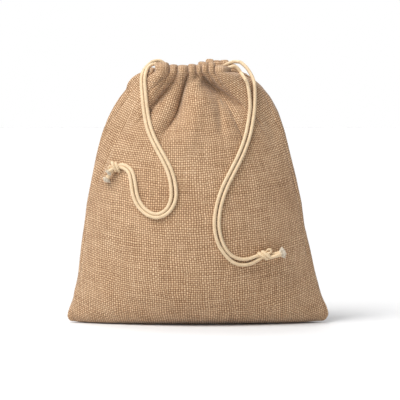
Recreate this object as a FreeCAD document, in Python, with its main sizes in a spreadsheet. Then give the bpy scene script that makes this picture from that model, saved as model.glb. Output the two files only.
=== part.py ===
import FreeCAD, Part
import Sketcher
import math
import os

# Drawstring gift pouch in plain-weave jute: two sewn cloth panels, a gathered mouth with a drawcord
# tunnel along the front and the rear hem, and two cords that leave it at opposite sides.
# Millimetres. +Z is up, the width lies along X, the front faces -Y, the origin is the base's centre.

doc = FreeCAD.newDocument("drawstring_gift_pouch")
sheet = doc.addObject("Spreadsheet::Sheet", "Dimensions")

# Outline of the standing pouch from the floor to the foot of the tunnels:
# height, half the width, half the depth.
LEVELS = [
    (0, 116, 24),
    (8, 122, 35),
    (26, 119, 42),
    (56, 112, 46),
    (96, 106, 47),
    (136, 99, 43),
    (172, 89, 36),
    (204, 77, 28),
    (229, 63, 21),
]

# Driving dimensions: alias, value, meaning.
DIMENSIONS = [
    ("wall", 1.6, "thickness of the cloth"),
    ("edge_wall", 2.6, "thickness of the cloth across a side edge"),
    ("joint_gap", 0.3, "clearance between pieces that move against each other"),
    ("cut_over", 2, "how far a cut reaches past the solid"),
    ("tunnel_length", 84, "gathered length of a tunnel"),
    ("tunnel_foot", 229.3, "height of a tunnel's lower edge"),
    ("tunnel_top", 254, "height of a tunnel's upper edge"),
    ("mouth_gap", 7, "opening between the two gathered hems"),
    ("tunnel_depth", 15.5, "depth of one gathered hem, front to back"),
    ("passage_width", 10, "width of the passage for the cords"),
    ("passage_foot", 233, "height of the passage's lower side"),
    ("passage_top", 251, "height of the passage's upper side"),
    ("stitch_height", 231.5, "height of the stitching that closes a tunnel"),
    ("thread_size", 0.9, "thickness of the sewing thread"),
    ("overlock_width", 6, "width of the overlocked edge"),
    ("overlock_size", 1.2, "thickness of the overlocked edge"),
    ("seam_inset", 3, "distance of the seam thread inside the cloth"),
    ("overlock_inset", 5, "distance of the overlocked edge inside the cloth"),
    ("cord_size", 3.4, "diameter of a cord"),
    ("pair_spacing", 3.9, "distance between the two strands of a pair"),
    ("cord_lane", 2.3, "distance of a cord from the passage's middle plane"),
    ("cord_exit", 246.5, "height at which a cord leaves its tunnels"),
    ("bight_height", 236.5, "height at which a cord turns from one tunnel to the other"),
    ("knot_width", 12, "width of a knot"),
    ("knot_height", 11, "height of a knot"),
    ("knot_depth", 9, "depth of a knot"),
    ("tip_length", 5, "length of a frayed tip"),
    ("tip_size", 6, "diameter of a frayed tip at its open end"),
]

for index, (height, half_width, half_depth) in enumerate(LEVELS):
    DIMENSIONS.append((f"level_height_{index}", height, f"height of level {index}"))
    DIMENSIONS.append((f"level_width_{index}", half_width, f"half width at level {index}"))
    DIMENSIONS.append((f"level_depth_{index}", half_depth, f"half depth at level {index}"))

for row, (alias, value, meaning) in enumerate(DIMENSIONS, start=1):
    sheet.set(f"A{row}", meaning)
    sheet.set(f"B{row}", str(value))
    sheet.setAlias(f"B{row}", alias)
doc.recompute()

FRONT = -1
REAR = 1
LEFT = -1
RIGHT = 1
SIDE_NAMES = {LEFT: "left", RIGHT: "right"}
WALL_NAMES = {FRONT: "front", REAR: "rear"}
TOP_LEVEL = len(LEVELS) - 1
ORIGIN_POINT = (-1, 1)
START = 1
END = 2

nodes = []


def size(alias):
    """The value of one cell of the sheet."""
    return float(sheet.get(alias))


def new_body(name):
    body = doc.addObject("PartDesign::Body", name)
    body.Label = name
    nodes.append(body)
    return body


def new_sketch(body, plane, name):
    """A sketch on one of the body's own origin planes."""
    sketch = body.newObject("Sketcher::SketchObject", f"{body.Name}_{name}")
    for feature in body.Origin.OriginFeatures:
        if feature.Role == plane:
            sketch.AttachmentSupport = [(feature, "")]
    sketch.MapMode = "FlatFace"
    return sketch


def bind(sketch, constraint, name, formula):
    """Add a named size to the sketch and bind it to the sheet."""
    number = sketch.addConstraint(constraint)
    sketch.renameConstraint(number, name)
    sketch.setExpression(f"Constraints.{name}", formula)


def draw_loop(sketch, corners):
    """A closed loop of straight lines through the corners."""
    count = len(corners)
    lines = []
    for index in range(count):
        here = FreeCAD.Vector(*corners[index], 0)
        there = FreeCAD.Vector(*corners[(index + 1) % count], 0)
        lines.append(sketch.addGeometry(Part.LineSegment(here, there)))
    for index in range(count):
        following = lines[(index + 1) % count]
        sketch.addConstraint(Sketcher.Constraint("Coincident", lines[index], END, following, START))
    return lines


def draw_wall_section(body, level, side):
    """Outer half section of the pouch: an arc over a straight line along X."""
    sketch = new_sketch(body, "XY_Plane", f"outer_{level}")
    sketch.setExpression("AttachmentOffset.Base.z", f"Dimensions.level_height_{level}")
    half_width = size(f"level_width_{level}")
    half_depth = size(f"level_depth_{level}")
    left = FreeCAD.Vector(-half_width, 0, 0)
    right = FreeCAD.Vector(half_width, 0, 0)
    middle = FreeCAD.Vector(0, side * half_depth, 0)
    arc = sketch.addGeometry(Part.Arc(left, middle, right))
    chord = sketch.addGeometry(Part.LineSegment(left, right))
    arc_left, arc_right = END, START
    if sketch.getPoint(arc, START).x < 0:
        arc_left, arc_right = START, END
    sketch.addConstraint(Sketcher.Constraint("Coincident", arc, arc_left, chord, START))
    sketch.addConstraint(Sketcher.Constraint("Coincident", arc, arc_right, chord, END))
    sketch.addConstraint(Sketcher.Constraint("Horizontal", chord))
    sketch.addConstraint(Sketcher.Constraint("Symmetric", chord, START, chord, END, *ORIGIN_POINT))
    width = f"Dimensions.level_width_{level}"
    depth = f"Dimensions.level_depth_{level}"
    bind(sketch, Sketcher.Constraint("DistanceX", chord, START, chord, END, 2 * half_width),
         "chord_width", f"2 * {width}")
    radius = (half_width ** 2 + half_depth ** 2) / (2 * half_depth)
    bind(sketch, Sketcher.Constraint("Radius", arc, radius),
         "arc_radius", f"({width} * {width} + {depth} * {depth}) / (2 * {depth})")
    return sketch


def draw_hollow_section(body, level, side, name, height):
    """Inner half section: the same arc one wall further in, closed just past the middle plane."""
    sketch = new_sketch(body, "XY_Plane", f"inner_{name}")
    sketch.setExpression("AttachmentOffset.Base.z", height)
    half_width = size(f"level_width_{level}") - size("edge_wall")
    half_depth = size(f"level_depth_{level}") - size("wall")
    over = -side * size("cut_over")
    left = FreeCAD.Vector(-half_width, 0, 0)
    right = FreeCAD.Vector(half_width, 0, 0)
    far_left = FreeCAD.Vector(-half_width, over, 0)
    far_right = FreeCAD.Vector(half_width, over, 0)
    arc = sketch.addGeometry(Part.Arc(left, FreeCAD.Vector(0, side * half_depth, 0), right))
    right_edge = sketch.addGeometry(Part.LineSegment(right, far_right))
    far_edge = sketch.addGeometry(Part.LineSegment(far_right, far_left))
    left_edge = sketch.addGeometry(Part.LineSegment(far_left, left))
    arc_left, arc_right = END, START
    if sketch.getPoint(arc, START).x < 0:
        arc_left, arc_right = START, END
    sketch.addConstraint(Sketcher.Constraint("Coincident", arc, arc_right, right_edge, START))
    sketch.addConstraint(Sketcher.Constraint("Coincident", right_edge, END, far_edge, START))
    sketch.addConstraint(Sketcher.Constraint("Coincident", far_edge, END, left_edge, START))
    sketch.addConstraint(Sketcher.Constraint("Coincident", left_edge, END, arc, arc_left))
    sketch.addConstraint(Sketcher.Constraint("Vertical", right_edge))
    sketch.addConstraint(Sketcher.Constraint("Vertical", left_edge))
    sketch.addConstraint(Sketcher.Constraint("Horizontal", far_edge))
    sketch.addConstraint(Sketcher.Constraint("Symmetric", arc, arc_left, arc, arc_right, *ORIGIN_POINT))
    width = f"(Dimensions.level_width_{level} - Dimensions.edge_wall)"
    depth = f"(Dimensions.level_depth_{level} - Dimensions.wall)"
    bind(sketch, Sketcher.Constraint("DistanceX", arc, arc_left, arc, arc_right, 2 * half_width),
         "inner_width", f"2 * {width}")
    radius = (half_width ** 2 + half_depth ** 2) / (2 * half_depth)
    bind(sketch, Sketcher.Constraint("Radius", arc, radius),
         "inner_radius", f"({width} * {width} + {depth} * {depth}) / (2 * {depth})")
    bind(sketch, Sketcher.Constraint("Distance", right_edge, abs(over)),
         "past_middle", "Dimensions.cut_over")
    return sketch


def loft(body, kind, sections, name):
    feature = body.newObject(kind, name)
    feature.Profile = sections[0]
    feature.Sections = sections[1:]
    return feature


def make_panel(side):
    """One cloth wall: half of the pillow-shaped pouch, open at its top and towards the other wall."""
    body = new_body(f"{WALL_NAMES[side]}_panel")
    outer = [draw_wall_section(body, level, side) for level in range(len(LEVELS))]
    loft(body, "PartDesign::AdditiveLoft", outer, f"{body.Name}_outside")
    inner = [draw_hollow_section(body, 0, side, "floor", "Dimensions.wall")]
    for level in range(1, TOP_LEVEL + 1):
        height = f"Dimensions.level_height_{level}"
        inner.append(draw_hollow_section(body, level, side, str(level), height))
    above = f"Dimensions.level_height_{TOP_LEVEL} + Dimensions.cut_over"
    inner.append(draw_hollow_section(body, TOP_LEVEL, side, "mouth", above))
    loft(body, "PartDesign::SubtractiveLoft", inner, f"{body.Name}_inside")


def draw_arch(sketch, middle, width, foot, top, names, formulas):
    """A flat-footed upright outline with a half-round top, each of its sizes bound to the sheet."""
    radius = width / 2
    spring = top - radius
    corners = [
        FreeCAD.Vector(middle - radius, spring, 0),
        FreeCAD.Vector(middle - radius, foot, 0),
        FreeCAD.Vector(middle + radius, foot, 0),
        FreeCAD.Vector(middle + radius, spring, 0),
    ]
    lines = [sketch.addGeometry(Part.LineSegment(corners[i], corners[i + 1])) for i in range(3)]
    crown = FreeCAD.Vector(middle, top, 0)
    arc = sketch.addGeometry(Part.Arc(corners[3], crown, corners[0]))
    sketch.addConstraint(Sketcher.Constraint("Coincident", lines[0], END, lines[1], START))
    sketch.addConstraint(Sketcher.Constraint("Coincident", lines[1], END, lines[2], START))
    sketch.addConstraint(Sketcher.Constraint("Tangent", lines[2], END, arc, START))
    sketch.addConstraint(Sketcher.Constraint("Tangent", arc, END, lines[0], START))
    sketch.addConstraint(Sketcher.Constraint("Vertical", lines[0]))
    sketch.addConstraint(Sketcher.Constraint("Horizontal", lines[1]))
    wide, low, high, across = names
    sketch_width = Sketcher.Constraint("DistanceX", lines[1], START, lines[1], END, width)
    bind(sketch, sketch_width, wide, formulas[0])
    bind(sketch, Sketcher.Constraint("DistanceY", *ORIGIN_POINT, lines[1], START, foot), low, formulas[1])
    spring_height = Sketcher.Constraint("DistanceY", *ORIGIN_POINT, lines[0], START, spring)
    bind(sketch, spring_height, high, formulas[2])
    near = middle - radius
    if near > 0:
        place = Sketcher.Constraint("DistanceX", *ORIGIN_POINT, lines[1], START, near)
    else:
        place = Sketcher.Constraint("DistanceX", lines[1], END, *ORIGIN_POINT, -middle - radius)
    bind(sketch, place, across, formulas[3])


def make_tunnel(side):
    """One gathered hem: the folded cloth round the passage that the cords run through."""
    body = new_body(f"{WALL_NAMES[side]}_tunnel")
    sketch = new_sketch(body, "YZ_Plane", "section")
    depth = size("tunnel_depth")
    near_face = size("mouth_gap") / 2
    middle = side * (near_face + depth / 2)
    outer_names = ("outer_width", "outer_foot", "outer_spring", "outer_place")
    outer_formulas = (
        "Dimensions.tunnel_depth",
        "Dimensions.tunnel_foot",
        "Dimensions.tunnel_top - Dimensions.tunnel_depth / 2",
        "Dimensions.mouth_gap / 2",
    )
    draw_arch(sketch, middle, depth, size("tunnel_foot"), size("tunnel_top"), outer_names, outer_formulas)
    inner_names = ("inner_width", "inner_foot", "inner_spring", "inner_place")
    inner_formulas = (
        "Dimensions.passage_width",
        "Dimensions.passage_foot",
        "Dimensions.passage_top - Dimensions.passage_width / 2",
        "(Dimensions.mouth_gap + Dimensions.tunnel_depth - Dimensions.passage_width) / 2",
    )
    draw_arch(sketch, middle, size("passage_width"), size("passage_foot"), size("passage_top"),
              inner_names, inner_formulas)
    pad = body.newObject("PartDesign::Pad", f"{body.Name}_length")
    pad.Profile = sketch
    pad.SideType = "Symmetric"
    pad.setExpression("Length", "Dimensions.tunnel_length")


def make_tunnel_stitching(side):
    """The thread row on the outside of a tunnel, just above its foot."""
    name = f"{WALL_NAMES[side]}_tunnel_stitching"
    thread = doc.addObject("Part::Cylinder", name)
    thread.Label = name
    thread.setExpression("Radius", "Dimensions.thread_size / 2")
    thread.setExpression("Height", "Dimensions.tunnel_length")
    thread.Placement.Rotation = FreeCAD.Rotation(FreeCAD.Vector(0, 1, 0), 90)
    face = "(Dimensions.mouth_gap / 2 + Dimensions.tunnel_depth + Dimensions.thread_size / 2)"
    thread.setExpression("Placement.Base.x", "-Dimensions.tunnel_length / 2")
    thread.setExpression("Placement.Base.y", f"{side} * {face}")
    thread.setExpression("Placement.Base.z", "Dimensions.stitch_height")
    nodes.append(thread)


def make_side_strip(side, name, inset, width, thickness, first_level):
    """A strip of thread inside one side seam, between the two walls, following the side edge."""
    body = new_body(name)
    sketch = new_sketch(body, "XZ_Plane", "outline")
    levels = list(range(first_level, TOP_LEVEL + 1))
    outer_inset = f"Dimensions.edge_wall + Dimensions.{inset}"
    inner_inset = f"{outer_inset} + Dimensions.{width}"
    edge = size("edge_wall") + size(inset)
    corners = []
    formulas = []
    for level in levels:
        corners.append((size(f"level_width_{level}") - edge, size(f"level_height_{level}")))
        formulas.append((f"Dimensions.level_width_{level} - ({outer_inset})", level))
    for level in reversed(levels):
        place = size(f"level_width_{level}") - edge - size(width)
        corners.append((place, size(f"level_height_{level}")))
        formulas.append((f"Dimensions.level_width_{level} - ({inner_inset})", level))
    lines = draw_loop(sketch, [(side * across, height) for across, height in corners])
    for index, line in enumerate(lines):
        across, height = corners[index]
        formula, level = formulas[index]
        if side == RIGHT:
            place = Sketcher.Constraint("DistanceX", *ORIGIN_POINT, line, START, across)
        else:
            place = Sketcher.Constraint("DistanceX", line, START, *ORIGIN_POINT, across)
        bind(sketch, place, f"across_{index}", formula)
        raised = Sketcher.Constraint("DistanceY", *ORIGIN_POINT, line, START, height)
        bind(sketch, raised, f"height_{index}", f"Dimensions.level_height_{level}")
    pad = body.newObject("PartDesign::Pad", f"{body.Name}_thickness")
    pad.Profile = sketch
    pad.SideType = "Symmetric"
    pad.setExpression("Length", f"Dimensions.{thickness}")


def make_bottom_strip(name, inset, width, thickness):
    """A strip of thread inside the bottom seam, upright between the two walls."""
    strip = doc.addObject("Part::Box", name)
    strip.Label = name
    half_length = "(Dimensions.level_width_0 - Dimensions.level_height_2)"
    strip.setExpression("Length", f"2 * {half_length}")
    strip.setExpression("Width", f"Dimensions.{thickness}")
    strip.setExpression("Height", f"Dimensions.{width}")
    strip.setExpression("Placement.Base.x", f"-{half_length}")
    strip.setExpression("Placement.Base.y", f"-Dimensions.{thickness} / 2")
    strip.setExpression("Placement.Base.z", f"Dimensions.wall + Dimensions.{inset}")
    nodes.append(strip)


def unit(vector):
    return vector * (1 / vector.Length)


def route_wire(name, points):
    """Straight runs joined by tangent arcs, each arc as large as its two runs allow."""
    points = [FreeCAD.Vector(*point) for point in points]
    edges = []
    radii = []
    here = points[0]
    for before, corner, after in zip(points, points[1:], points[2:]):
        arriving = unit(corner - before)
        leaving = unit(after - corner)
        turn = arriving.getAngle(leaving)
        setback = 0.45 * min((corner - before).Length, (after - corner).Length)
        radius = setback / math.tan(turn / 2)
        start = corner - arriving * setback
        end = corner + leaving * setback
        inward = unit(leaving - arriving)
        middle = corner + inward * (radius / math.cos(turn / 2) - radius)
        edges.append(Part.LineSegment(here, start).toShape())
        edges.append(Part.Arc(start, middle, end).toShape())
        radii.append(round(radius, 1))
        here = end
    edges.append(Part.LineSegment(here, points[-1]).toShape())
    print(name, "bend radii:", radii)
    return Part.Wire(edges)


def tube(name, points, diameter):
    """A round solid along the route."""
    path = route_wire(name, points)
    start = FreeCAD.Vector(*points[0])
    heading = FreeCAD.Vector(*points[1]) - start
    ring = Part.Wire([Part.Circle(start, heading, diameter / 2).toShape()])
    solid = path.makePipeShell([ring], True, False)
    expected = math.pi * diameter ** 2 / 4 * path.Length
    print(name, "length:", round(path.Length, 1), "volume over expected:", round(solid.Volume / expected, 4))
    return solid


def add_shape(name, shape):
    feature = doc.addObject("Part::Feature", name)
    feature.Label = name
    feature.Shape = shape
    nodes.append(feature)


def beside(points, distance):
    """The route moved sideways in the plane of the front wall by a distance."""
    moved = []
    for index, point in enumerate(points):
        before = points[max(index - 1, 0)]
        after = points[min(index + 1, len(points) - 1)]
        across = after[0] - before[0]
        rise = after[2] - before[2]
        length = math.hypot(across, rise)
        offset_x = -rise / length * distance
        offset_z = across / length * distance
        moved.append((point[0] + offset_x, point[1], point[2] + offset_z))
    return moved


# The cords' routes. A pair's middle line starts where its two strands come together.
LEFT_PAIR = [
    (-52, -18, 219),
    (-49, -24, 203),
    (-43, -31, 187),
    (-36.5, -37, 173),
    (-29.5, -41, 160),
    (-24.5, -44.5, 147),
    (-21.5, -48, 133),
    (-21.5, -49.5, 121),
    (-27, -49.5, 110.5),
    (-36, -48, 105.5),
    (-45.5, -45, 107.5),
    (-53.5, -41, 114.5),
    (-58.5, -37.5, 124.5),
    (-60.5, -35, 136),
    (-63.5, -31.5, 145),
    (-71.5, -26, 151),
]
RIGHT_PAIR = [
    (53.5, -20, 211),
    (52, -24, 197),
    (48.5, -31, 180),
    (42, -37.5, 163),
    (33, -43.5, 146),
    (25, -48, 130),
    (20, -50.5, 113),
    (18.5, -52, 97),
    (21.5, -51.5, 82),
    (28.5, -50, 69.5),
    (38, -48, 62.5),
    (49.5, -45, 62),
    (60, -41, 67),
]


def pouch_cord(side, pair):
    """One cord's nodes: two runs, the bight, two strands, the knot, the ends and the frayed tips."""
    cord = f"{SIDE_NAMES[side]}_cord"
    diameter = size("cord_size")
    gap = size("joint_gap")
    end = size("tunnel_length") / 2
    lane = size("mouth_gap") / 2 + size("tunnel_depth") / 2
    # The left cord lies in the outer lane of both passages and the right cord in the inner lane.
    lane += size("cord_lane") if side == LEFT else -size("cord_lane")
    exit_height = size("cord_exit")
    bight_height = size("bight_height")

    for wall in (FRONT, REAR):
        name = f"{cord}_{WALL_NAMES[wall]}_run"
        run = doc.addObject("Part::Cylinder", name)
        run.Label = name
        start = FreeCAD.Vector(side * (end - gap), wall * lane, exit_height)
        heading = FreeCAD.Vector(-side * (end - gap), wall * lane, bight_height) - start
        run.setExpression("Radius", "Dimensions.cord_size / 2")
        run.Height = heading.Length
        run.Placement = FreeCAD.Placement(start, FreeCAD.Rotation(FreeCAD.Vector(0, 0, 1), heading))
        nodes.append(run)

    far = -side
    half_bight = [
        (far * (end + gap), -lane, bight_height),
        (far * (end + 3.5), -lane, bight_height),
        (far * (end + 6.5), -lane / 2, bight_height),
    ]
    bight = half_bight + [(x, -y, z) for x, y, z in reversed(half_bight)]
    add_shape(f"{cord}_bight", tube(f"{cord}_bight", bight, diameter))

    start = side * (end + gap)
    front_start = [
        (start, -lane, exit_height),
        (start + side * 5, -lane, exit_height),
        (start + side * 9, -lane - 2, exit_height - 6),
        (start + side * 11, -16.5, exit_height - 15),
    ]
    rear_start = [
        (start, lane, exit_height),
        (start + side * 5, lane, exit_height),
        (start + side * 9.5, lane - 7, exit_height + 0.5),
        (start + side * 12.5, lane - 14, exit_height - 5),
        (start + side * 15, -11.5, exit_height - 14),
    ]
    half_pair = size("pair_spacing") / 2
    routes = {
        FRONT: front_start + beside(pair, -side * half_pair),
        REAR: rear_start + beside(pair, side * half_pair),
    }
    for wall in (FRONT, REAR):
        name = f"{cord}_{WALL_NAMES[wall]}_strand"
        add_shape(name, tube(name, routes[wall], diameter))


def make_knot(name, place, tilt):
    """A tied knot, as a plain egg of its size."""
    knot = doc.addObject("Part::Ellipsoid", name)
    knot.Label = name
    knot.setExpression("Radius1", "Dimensions.knot_height / 2")
    knot.setExpression("Radius2", "Dimensions.knot_width / 2")
    knot.setExpression("Radius3", "Dimensions.knot_depth / 2")
    knot.Placement = FreeCAD.Placement(FreeCAD.Vector(*place), FreeCAD.Rotation(FreeCAD.Vector(0, 1, 0), tilt))
    nodes.append(knot)


def make_ends(cord, ends):
    """The two short ends past the knot, and the flared, frayed tip of each."""
    diameter = size("cord_size")
    tubes = []
    tips = []
    for start, finish in ends:
        start = FreeCAD.Vector(*start)
        finish = FreeCAD.Vector(*finish)
        heading = unit(finish - start)
        length = (finish - start).Length
        tubes.append(Part.makeCylinder(diameter / 2, length, start, heading))
        tips.append(Part.makeCone(diameter / 2, size("tip_size") / 2, size("tip_length"), finish, heading))
    add_shape(f"{cord}_ends", Part.makeCompound(tubes))
    add_shape(f"{cord}_tips", Part.makeCompound(tips))


for wall_side in (FRONT, REAR):
    make_panel(wall_side)
    make_tunnel(wall_side)
    make_tunnel_stitching(wall_side)

for seam_side in (LEFT, RIGHT):
    seam_name = SIDE_NAMES[seam_side]
    make_side_strip(seam_side, f"{seam_name}_side_seam", "seam_inset", "thread_size", "thread_size", 1)
    make_side_strip(seam_side, f"{seam_name}_overlock", "overlock_inset", "overlock_width", "overlock_size", 1)
make_bottom_strip("bottom_seam", "seam_inset", "thread_size", "thread_size")
make_bottom_strip("bottom_overlock", "overlock_inset", "overlock_width", "overlock_size")

pouch_cord(LEFT, LEFT_PAIR)
make_knot("left_cord_knot", (-77, -24.5, 151.5), -20)
make_ends("left_cord", [((-81.5, -26.5, 150.5), (-84.5, -27, 147.5)), ((-80, -21.5, 147), (-85.5, -21.5, 140.5))])
pouch_cord(RIGHT, RIGHT_PAIR)
make_knot("right_cord_knot", (65, -40, 68.5), 25)
make_ends("right_cord", [((70.5, -41, 66.5), (79.5, -38, 69.5)), ((70.5, -36.5, 66.5), (79, -31.5, 70))])

doc.recompute()
for item in doc.Objects:
    if "Invalid" in item.State or "Error" in item.State:
        raise RuntimeError(f"{item.Label} failed: {item.State}")
for node in nodes:
    if node.Shape.isNull() or not node.Shape.isValid():
        raise RuntimeError(f"{node.Label} has no valid shape")

os.makedirs("parts", exist_ok=True)
for node in nodes:
    node.Shape.exportStep(f"parts/{node.Label}.step")
    print(node.Label, "volume:", round(node.Shape.Volume), "solids:", len(node.Shape.Solids))
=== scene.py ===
import math

import bpy
import numpy as np
from numpy.linalg import norm
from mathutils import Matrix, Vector
from mathutils.bvhtree import BVHTree


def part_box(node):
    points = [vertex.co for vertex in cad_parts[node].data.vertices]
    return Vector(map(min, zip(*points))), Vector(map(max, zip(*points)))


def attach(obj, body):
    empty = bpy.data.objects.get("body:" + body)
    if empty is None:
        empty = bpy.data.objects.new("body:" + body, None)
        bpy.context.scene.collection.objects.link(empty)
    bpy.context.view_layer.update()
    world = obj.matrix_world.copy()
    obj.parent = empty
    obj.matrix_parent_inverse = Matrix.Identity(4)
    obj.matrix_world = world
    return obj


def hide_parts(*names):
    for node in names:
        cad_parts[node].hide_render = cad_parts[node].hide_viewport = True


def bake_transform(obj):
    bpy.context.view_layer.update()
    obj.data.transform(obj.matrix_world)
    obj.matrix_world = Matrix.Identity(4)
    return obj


# A standing jute drawstring pouch: two sewn cloth walls with gathered hems, two doubled cords, two knots.
# Metres, in the frame of the CAD model: +Z up, width along X, the front faces -Y, the origin on the floor.

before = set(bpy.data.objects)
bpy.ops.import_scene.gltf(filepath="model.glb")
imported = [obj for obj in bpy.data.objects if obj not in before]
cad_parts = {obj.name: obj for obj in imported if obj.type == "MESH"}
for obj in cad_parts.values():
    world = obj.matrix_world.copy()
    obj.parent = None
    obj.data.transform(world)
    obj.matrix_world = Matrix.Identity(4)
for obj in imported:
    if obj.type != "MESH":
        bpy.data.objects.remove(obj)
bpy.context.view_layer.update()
random = np.random.default_rng(7)

FRONT, REAR = -1, 1
LEFT, RIGHT = -1, 1
SIDE = {LEFT: "left", RIGHT: "right"}
WALL = {FRONT: "front", REAR: "rear"}

MM = 0.001
TUNNEL_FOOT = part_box("front_tunnel")[0][2]
CORD_SIZE = 3.4 * MM
CORD_RADIUS = CORD_SIZE / 2
CLOTH = 1.3 * MM  # thickness
WEAVE_PITCH = 2.0 * MM  # from one thread to the next


def add_object(name, data):
    """A new object in the scene."""
    added = bpy.data.objects.new(name, data)
    bpy.context.collection.objects.link(added)
    return added


# --- camera

def make_camera():
    """Far away and a little above the pouch, turned down to it."""
    distance = 2.3
    elevation = math.radians(3.5)
    view_width = 0.380
    target = Vector((0.0033, -0.03, 0.1202))
    data = bpy.data.cameras.new("camera")
    data.sensor_width = 36
    data.lens = data.sensor_width * distance / view_width
    data.clip_end = 20
    camera = add_object("camera", data)
    camera.location = target + distance * Vector((0, -math.cos(elevation), math.sin(elevation)))
    camera.rotation_euler = (math.pi / 2 - elevation, 0, 0)
    bpy.context.scene.camera = camera


make_camera()


# --- cords: their routes

# The middle line of each pair of strands, in millimetres, from where they come together to the knot.
PAIRS = {
    LEFT: [(-50, -18, 219), (-48.4, -24, 203), (-45, -31, 187), (-38.6, -37, 173), (-31, -41, 160),
           (-24.5, -44.5, 147), (-21.5, -48, 133), (-21.5, -49.5, 121), (-27, -49.5, 110.5),
           (-36, -48, 105.5), (-45.5, -45, 107.5), (-53.5, -41, 114.5), (-58.5, -37.5, 124.5),
           (-60, -35, 137), (-62.5, -31.5, 148), (-70.5, -26, 153)],
    RIGHT: [(53.5, -20, 211), (52, -24, 197), (48.5, -31, 180), (42, -37.5, 163), (33, -43.5, 146),
            (25, -48, 130), (20, -50.5, 113), (18.5, -52, 97), (21.5, -51.5, 82), (28.5, -50, 69.5),
            (38, -48, 62.5), (49.5, -45, 62), (60, -41, 67)],
}
# The distance between the two strands of each pair at the same places.
SPACINGS = {
    LEFT: [3.5, 3.6, 3.7, 3.7, 3.8, 4.0, 4.6, 4.6, 3.7, 3.5, 3.5, 3.7, 4.0, 4.0, 3.6, 3.5],
    RIGHT: [4.2, 4.4, 4.3, 4.0, 4.0, 4.2, 4.2, 4.4, 4.6, 3.6, 5.6, 5.4, 3.8],
}
# Each strand from its tunnel to where it joins its pair.
STARTS = {
    (LEFT, FRONT): [(-41, -7, 249), (-45.5, -7.5, 247.6), (-48.6, -9.5, 241.5), (-49.6, -12.5, 233)],
    (LEFT, REAR): [(-42.3, 5, 251.3), (-47, 1, 248), (-51.3, -3.5, 242), (-53, -8.5, 234.5)],
    (RIGHT, FRONT): [(42.3, -6.5, 240.7), (45.5, -8, 236.2), (48.8, -10.5, 230.8)],
    (RIGHT, REAR): [(42.3, 3, 250.7), (47.3, -0.5, 246.8), (51.6, -4, 240.2), (54.4, -7.5, 234.5),
                    (55.6, -11, 228.5)],
}
# Each cord's way through a tunnel, from the strand's start to the far end.
RUNS = {
    (LEFT, FRONT): [(-41, -7, 249), (-37.5, -7, 249.2), (-33, -7.2, 247.2), (-22, -8.6, 244),
                    (0, -8.8, 241.5), (22, -7.6, 238.5), (38, -7, 237)],
    (LEFT, REAR): [(-42.3, 5, 251.3), (-36.5, 6.6, 253), (-31.5, 7, 250), (-27, 7.6, 245.5),
                   (0, 8.8, 241.5), (22, 7.6, 238.5), (38, 7, 237)],
    (RIGHT, FRONT): [(42.3, -6.5, 240.7), (39.8, -6.2, 245), (36, -6.2, 247.5), (31, -6.6, 245.5),
                     (20, -6, 243.5), (0, -5.35, 241.5), (-22, -6.2, 238.5), (-38, -7, 237)],
    (RIGHT, REAR): [(42.3, 3, 250.7), (37, 5.5, 251.8), (31, 6.6, 249.5), (20, 6, 245),
                    (0, 5.35, 241.5), (-22, 6.2, 238.5), (-38, 7, 237)],
}
# Half of a cord's turn from one tunnel to the other, past the far end of its runs: how far from the pouch's
# middle across, how far towards the tunnel's own side, and its height.
TURN = [(38, 7, 237), (41.5, 6.9, 236.6), (45, 4.2, 236), (45.6, 0, 235.8)]


def beside(points, distances):
    """The route moved sideways in the plane of the front wall, at each point by its own distance."""
    moved = []
    for index, (point, distance) in enumerate(zip(points, distances)):
        before = points[max(index - 1, 0)]
        after = points[min(index + 1, len(points) - 1)]
        across = after[0] - before[0]
        rise = after[2] - before[2]
        length = math.hypot(across, rise)
        moved.append((point[0] - rise / length * distance, point[1], point[2] + across / length * distance))
    return moved


def smooth_line(points):
    """Points along the NURBS curve whose control points are these, in metres."""
    data = bpy.data.curves.new("line", "CURVE")
    data.dimensions = "3D"
    data.resolution_u = 16
    spline = data.splines.new("NURBS")
    spline.points.add(len(points) - 1)
    for place, point in zip(spline.points, points):
        place.co = (*point, 1)
    spline.use_endpoint_u = True
    spline.order_u = 3
    curve = add_object("line", data)
    bpy.context.view_layer.update()
    line = bpy.data.meshes.new_from_object(curve)
    places = np.array([tuple(v.co) for v in line.vertices])
    bpy.data.objects.remove(curve)
    bpy.data.curves.remove(data)
    bpy.data.meshes.remove(line)
    return places


# --- cloth: the gathered hems

def spline_through(points, steps=12):
    """A smooth curve through the points."""
    p = np.array(points, float)
    p = np.vstack([2 * p[0] - p[1], p, 2 * p[-1] - p[-2]])
    t = np.linspace(0, 1, steps, endpoint=False)[:, None]
    parts = []
    for a, b, c, d in zip(p, p[1:], p[2:], p[3:]):
        parts.append(0.5 * (2 * b + (c - a) * t + (2 * a - 5 * b + 4 * c - d) * t ** 2
                            + (3 * b - a - 3 * c + d) * t ** 3))
    parts.append(p[-2][None])
    return np.vstack(parts)


def lengths_along(line):
    """The length from the start of a line to each of its points."""
    return np.concatenate([[0], np.cumsum(norm(np.diff(line, axis=0), axis=1))])


def along(curve, share):
    """Points of a curve at shares of its length."""
    lengths = lengths_along(curve)
    wanted = np.asarray(share) * lengths[-1]
    return np.stack([np.interp(wanted, lengths, curve[:, k]) for k in range(curve.shape[1])], axis=-1)


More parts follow.
